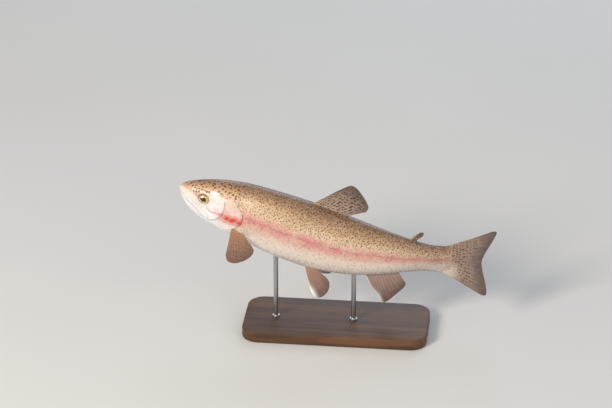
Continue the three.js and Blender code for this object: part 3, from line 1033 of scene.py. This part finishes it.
def median_place(fin):
    def place(x, z, off, along, out):
        return np.stack([x, off + fin["sway"](along, out), z], -1)

    return place


def paired_place(fin, side):
    out_axis = Vector(fin["outward"]).normalized()
    back = Vector(fin["backward"])
    back = (back - out_axis * back.dot(out_axis)).normalized()
    axes = np.array([back, out_axis, out_axis.cross(back)])

    def place(a, o, off, along, out):
        lift = off + fin["cup"] * out * out * (1 - along)
        return (fin["at"] + np.stack([a, o, lift], -1) @ axes) * [1, side, 1]

    return place


def build_fin(name, fin, place, material, mirrored):
    columns, attributes = fin_mesh(fin, place)
    points, faces = posed(attributes["place"]), plate_faces(FIN_ROWS, columns)
    new_piece(name + "_rays", points, faces, material, attributes, [name], mirrored)


def fin_material(name, foot, edge, dark, spots=0, spread=(0.6, 1.0), white=0, pale_base=0):
    """A web of rays that goes from the foot's colour to the edge's, with shares of dark edge, of
    spots, of a white front corner and of a pale rear half of the base."""
    look = Look(
        name + "_web", Coat_Weight=0.3, Coat_Roughness=0.2, IOR=1.42,
        Subsurface_Weight=0.2, Subsurface_Scale=1.2 * MM,
    )
    place, flat = look.place(), look.place("flat")
    ray, reach, along = map(look.number, ("ray", "reach", "along"))
    outer = reach.math("ADD", place.noise(6, 3) * 0.4 - 0.2, clamp=True)
    amount = reach.step(spread[1], spread[0])
    dots = flat.spots(1, 0.37, amount, uneven=0.55, ragged=0.12, blur=0.12)
    corner = along.step(0.36, 0.12) * reach.step(0.5, 0.95)
    pale = corner.math("MAXIMUM", along.step(0.06, 0.02) * 0.8)

    # The rays are jointed beyond their first third.
    run = (flat.axis(1) * (SPOT_ROWS / JOINT_PITCH)).math("FRACT")
    joint = run.ridge(0.5, 0.16) * ray * reach.step(0.3, 0.45)
    colour = (
        outer.mix(foot, edge)
        .tint("41332D", outer.step(0.6, 1) * dark)
        .tint("6B564C", ray.step(0.5, 0) * 0.16)
        .tint("DCC9B7", ray.step(0.55, 1) * 0.2)
        .tint("5A4740", joint * 0.25)
        .tint(SPOT, dots * spots)
        .tint("E6D6C8", along.step(0.45, 0.75) * reach.step(0.5, 0.1) * pale_base)
        .tint("F2ECE6", pale * white)
    )
    grain = place.noise(0.5)
    look.set(Base_Color=colour, Roughness=grain * 0.2 + 0.32)
    return look.bump(joint * -0.8 + grain, 0.05, 0.6)


def build_fins():
    for name, fin in FINS.items():
        # The faces of the fins that start above the axis come out inside out.
        above = fin["root"][0][1] > 0
        build_fin(name, fin, median_place(fin), fin_material(name, **fin["web"]), above)
    webs = {name: fin_material(name, **fin["web"]) for name, fin in PAIRED_FINS.items()}
    for word, side in SIDES.items():
        for name, fin in PAIRED_FINS.items():
            place = paired_place(fin, side)
            build_fin(f"{name}_{word}", fin, place, webs[name], side == RIGHT)


# ---------- Eyes ----------

EYE_AROUND = 64
EYE_RINGS = 40
PUPIL = {"x": -0.2, "z": 0.1, "long": 3.05, "high": 2.5, "point": 0.7}
LENS_BULGE = 0.14
SHOWN_OF_EYE = 0.89  # the share of the eye's radius that the lids leave bare
OFF_PUPIL = 9  # a pupil distance for the back of the ball


def pupil_distance(x, z):
    """1 on the rim of the pupil, which is drawn out to a blunt point forwards."""
    x, z = x - PUPIL["x"], z - PUPIL["z"]
    turn = np.arctan2(z, -x)
    drawn = 1 + PUPIL["point"] / PUPIL["long"] * np.clip(np.cos(turn), 0, 1) ** 6
    return np.hypot(x / PUPIL["long"], z / PUPIL["high"]) / drawn


def eye_material():
    look = Look("trout_eye", Coat_Weight=1, Coat_Roughness=0.02, IOR=1.5, Roughness=0.12)
    place, rim, pupil = look.place("spot"), look.number("rim"), look.number("pupil")
    streak = place.noise(0.8, 4, 0.65)
    colour = (
        streak.mix("C08A3E", "F2D294")
        .tint("8A6236", place.axis(2).step(1.4, 4.8) * 0.4)
        .tint("7A5530", streak.step(0.55, 0.35) * 0.45)
        .tint("F5DDA8", pupil.ridge(1.09, 0.1))
        .tint("5A4028", rim.step(0.93, 1.03))
        .tint("07090F", pupil.step(1.04, 0.98))
    )
    look.set(Base_Color=colour)
    return look.material


def build_eye(word, side, material):
    """A flattened ball whose lens bulges a little through the pupil."""
    ring = np.linspace(0, math.pi, EYE_RINGS)[1:-1, None]
    turn = np.linspace(0, 2 * math.pi, EYE_AROUND, endpoint=False)[None, :]
    ex = EYE["round"] * np.sin(ring) * np.cos(turn)
    ez = EYE["high"] * np.sin(ring) * np.sin(turn)
    ey = EYE["deep"] * np.cos(ring) + 0 * turn
    pupil = pupil_distance(ex, ez)
    bulge = LENS_BULGE * step(pupil, 1.15, 0.5) - 0.06 * ridge(pupil - 1.1, 0.12)
    ey = ey + np.where(ey > 0, bulge, 0)
    poles = [(0, EYE["deep"] + LENS_BULGE, 0), (0, -EYE["deep"], 0)]
    local = np.vstack([np.stack([ex, ey, ez], -1).reshape(-1, 3), *poles])
    centre = np.array([EYE["x"], side * EYE["middle"], EYE["z"]])
    points = centre + local * [1, side, 1]
    faces = tube_faces(len(ring), EYE_AROUND)
    attributes = {
        "spot": local,
        "rim": np.hypot(local[:, 0] / EYE["round"], local[:, 2] / EYE["high"]) / SHOWN_OF_EYE,
        "pupil": np.append(np.where(ey > 0, pupil, OFF_PUPIL), [0, OFF_PUPIL]),
    }
    name = "eye_" + word
    new_piece(
        name + "_ball", posed(points), faces, material, attributes, [name], side == RIGHT
    )


def build_eyes(material):
    for word, side in SIDES.items():
        build_eye(word, side, material)


# ---------- The stand ----------

BASE_BEVEL = 1.5
BASE_CORNER = 18
BEVEL_STEPS = 6
CORNER_STEPS = 14
ROD_SIDES = 48
COLLAR = {"radius": 4.2, "height": 1.8, "bevel": 0.4}
SHARP_ANGLE = math.radians(30)


def walnut_material():
    look = Look("walnut", Coat_Weight=0.12, Coat_Roughness=0.35, IOR=1.45)
    place = look.node("TexCoord", {}, "Object")
    figure = place.scaled((0.9, 12, 12)).noise(0.16, 5, 0.6)
    inputs = {"Vector": place.scaled((4, 38, 38)), "Scale": 1, "Distortion": 5}
    rings = look.node("TexWave", inputs, "Fac", bands_direction="Y", wave_profile="SAW")
    pores = place.scaled((60, 1500, 1500)).noise(1)
    colour = figure.step(0.3, 0.7).mix("3A2416", "6E4A2E").tint("2A190F", rings * 0.35)
    colour = colour.tint("1E120B", pores.step(0.56, 0.7) * 0.5)
    look.set(Base_Color=colour, Roughness=figure * 0.15 + 0.45)
    return look.bump(pores, 0.04, 0.5)


def steel_material():
    look = Look("brushed_steel", Metallic=1)
    turned = look.node("TexCoord", {}, "Object").scaled((300, 300, 9000)).noise(1)
    look.set(Base_Color=turned.mix("9A9B9D", "C4C5C6"), Roughness=turned * 0.2 + 0.22)
    return look.bump(turned, 0.01, 0.4)


def build_stack(node, finish, rings, material):
    """A closed piece through level rings of points in millimetres, in place of a node."""
    rows, columns = len(rings), len(rings[0])
    faces = grid_faces(rows, columns, wrapped=True).tolist()
    faces.append(list(range(columns))[::-1])
    faces.append(list(range((rows - 1) * columns, rows * columns)))
    points = np.concatenate(rings) * MM
    return new_piece(f"{node}_{finish}", points, faces, material, replaces=[node])


def circle(turn):
    return np.stack([np.cos(turn), np.sin(turn)], -1)


def rounded_plan(half_size, corner):
    """The outline of a rectangle with rounded corners."""
    start = np.repeat(np.arange(4), CORNER_STEPS) * math.pi / 2
    turn = start + np.tile(np.linspace(0, math.pi / 2, CORNER_STEPS), 4)
    return np.sign(circle(start + math.pi / 4)) * (half_size - corner) + corner * circle(turn)


def build_base(material):
    """The base, with softly rounded edges."""
    low, high = box_in_mm("stand_base")
    half_size, middle = (high - low)[:2] / 2, (high + low)[:2] / 2
    below, above = [], []
    for turn in np.linspace(0, math.pi / 2, BEVEL_STEPS):
        inset, rise = BASE_BEVEL * (1 - math.sin(turn)), BASE_BEVEL * (1 - math.cos(turn))
        plan = middle + rounded_plan(half_size - inset, BASE_CORNER - inset)
        below.append(np.insert(plan, 2, low[2] + rise, axis=1))
        above.insert(0, np.insert(plan, 2, high[2] - rise, axis=1))
    build_stack("stand_base", "wood", below + above, material)


def build_rod(node, material):
    """A round rod with a collar where it enters the base. Its top ends inside the belly."""
    low, high = box_in_mm(node)
    floor_level = box_in_mm("stand_base")[1, 2]
    middle, radius = (low + high) / 2, (high[0] - low[0]) / 2
    wide, collar_top = COLLAR["radius"], floor_level + COLLAR["height"]
    profile = [
        (radius, low[2]), (radius, floor_level), (wide, floor_level),
        (wide, collar_top - COLLAR["bevel"]), (wide - COLLAR["bevel"], collar_top),
        (radius, collar_top), (radius, high[2]),
    ]
    plan = circle(np.linspace(0, 2 * math.pi, ROD_SIDES, endpoint=False))
    rings = [np.insert(middle[:2] + r * plan, 2, level, axis=1) for r, level in profile]
    piece = build_stack(node, "steel", rings, material)
    piece.data.set_sharp_from_angle(angle=SHARP_ANGLE)


def build_stand():
    build_base(walnut_material())
    steel = steel_material()
    for word in ("front", "rear"):
        build_rod(f"stand_rod_{word}", steel)


# ---------- Floor, light and camera ----------

CAMERA_AZIMUTH = math.radians(6.2)
CAMERA_ELEVATION = math.radians(26.1)
CAMERA_DISTANCE = 3.0
CAMERA_AIM = Vector((-33.9, 11.1, 140.0)) * MM
VIEW_WIDTH = 0.6423  # of the whole picture, at the aim
SENSOR_WIDTH = 36
LIT_PLACE = Vector((0, 0, 0.1))
FLOOR_HALF = 8.0


def put(name, data, position, target):
    """A camera or light at a place in the frame, turned to its target."""
    thing = add_object(name, data)
    thing.location = position
    thing.rotation_euler = (target - thing.location).to_track_quat("-Z", "Y").to_euler()
    return thing


def place_camera():
    back = Euler((-CAMERA_ELEVATION, 0, CAMERA_AZIMUTH)).to_matrix() @ Vector((0, -1, 0))
    data = bpy.data.cameras.new("camera")
    data.sensor_width = SENSOR_WIDTH
    data.lens = SENSOR_WIDTH * CAMERA_DISTANCE / VIEW_WIDTH
    position = CAMERA_AIM + back * CAMERA_DISTANCE
    bpy.context.scene.camera = put("camera", data, position, CAMERA_AIM)


def soft_light(name, position, size, power, colour):
    data = bpy.data.lights.new(name, "AREA")
    data.shape = "DISK"
    data.size = size
    data.energy = power
    data.color = colour
    put(name, data, position, LIT_PLACE)


def light_studio():
    soft_light("key", (-1.3, -1.7, 1.3), 0.8, 49, (1.0, 0.93, 0.83))
    soft_light("fill", (1.7, -1.3, 0.8), 1.4, 11, (0.95, 0.97, 1.0))
    soft_light("rim", (0.4, 2.0, 1.25), 2.0, 15, (0.78, 0.87, 1.0))
    world = bpy.data.worlds.new("studio")
    bpy.context.scene.world = world
    world.use_nodes = True
    background = world.node_tree.nodes["Background"]
    background.inputs["Color"].default_value = (0.9, 0.93, 1.0, 1.0)
    background.inputs["Strength"].default_value = 0.4


def build_floor():
    look = Look("floor_paint", Roughness=0.85)
    cloud = look.node("TexCoord", {}, "Object").noise(0.4, 3)
    look.set(Base_Color=cloud.mix("DAD8D3", "E2E0DC"))
    mesh = bpy.data.meshes.new("floor")
    corners = [(-1, -1), (1, -1), (1, 1), (-1, 1)]
    mesh.from_pydata([(x * FLOOR_HALF, y * FLOOR_HALF, 0) for x, y in corners], [], [(0, 1, 2, 3)])
    mesh.materials.append(look.material)
    add_object("floor", mesh)


# ---------- The model ----------

place_camera()
light_studio()
build_floor()
build_skin(skin_material())
build_coat(scale_material())
build_fins()
build_eyes(eye_material())
build_stand()
bpy.context.scene.view_settings.view_transform = "Standard"
